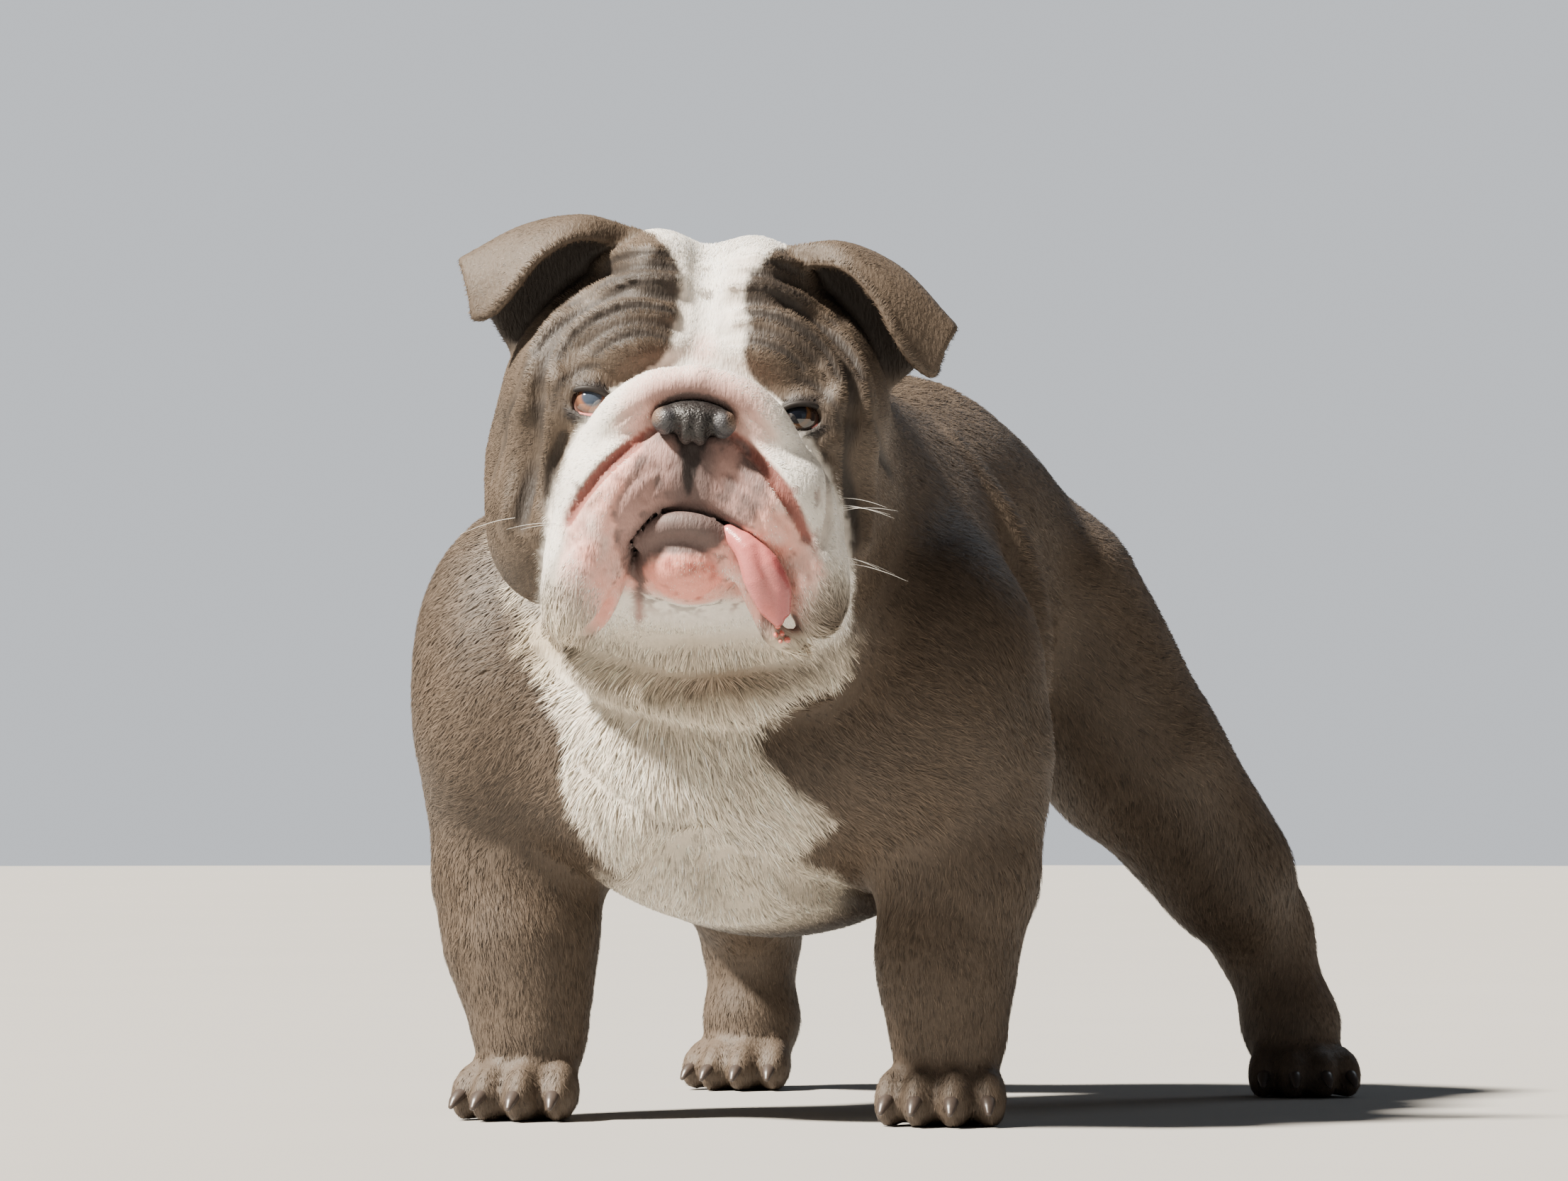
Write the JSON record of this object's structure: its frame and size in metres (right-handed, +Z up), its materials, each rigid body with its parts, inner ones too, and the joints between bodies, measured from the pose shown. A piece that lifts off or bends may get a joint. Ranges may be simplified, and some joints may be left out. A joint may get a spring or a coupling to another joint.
{
  "type": "english bulldog",
  "caption": "Standing English bulldog with a broad wrinkled face, folded ears, hanging lips, tongue out at the left of the mouth, and a short grey and white coat.",
  "frame": {"origin": "on the floor, at the centre of the bottom of the bounding box", "axes": "-Y the way the body faces, +X to the dog's left, +Z up"},
  "size_m": [0.4268, 0.6434, 0.4693],
  "materials": {
    "coat_grey": "short smooth grey-brown fur",
    "coat_white": "short white fur",
    "chin_skin": "thinly haired pink skin with a dark lower lip",
    "nose_leather": "moist pebbled leather",
    "tongue": "wet flesh",
    "eye": "wet, glossy",
    "claw": "dull horn"
  },
  "bodies": {
    "root": {"ear_left": "coat_grey", "ear_right": "coat_grey", "eye_left": "eye", "eye_right": "eye", "fore_left_claw_1": "claw", "fore_left_claw_2": "claw", "fore_left_claw_3": "claw", "fore_left_claw_4": "claw", "fore_left_forearm": "coat_grey", "fore_left_paw": "coat_grey", "fore_left_shoulder": "coat_grey", "fore_right_claw_1": "claw", "fore_right_claw_2": "claw", "fore_right_claw_3": "claw", "fore_right_claw_4": "claw", "fore_right_forearm": "coat_grey", "fore_right_paw": "coat_grey", "fore_right_shoulder": "coat_grey", "head": "coat_grey", "hind_left_claw_1": "claw", "hind_left_claw_2": "claw", "hind_left_claw_3": "claw", "hind_left_claw_4": "claw", "hind_left_paw": "coat_grey", "hind_left_shank": "coat_grey", "hind_left_thigh": "coat_grey", "hind_right_claw_1": "claw", "hind_right_claw_2": "claw", "hind_right_claw_3": "claw", "hind_right_claw_4": "claw", "hind_right_paw": "coat_grey", "hind_right_shank": "coat_grey", "hind_right_thigh": "coat_grey", "hindquarters": "coat_grey", "lower_jaw": "chin_skin", "neck": "coat_white", "nose": "nose_leather", "tail": "coat_grey", "tongue": "tongue", "torso": "coat_grey"}
  },
  "joints": []
}
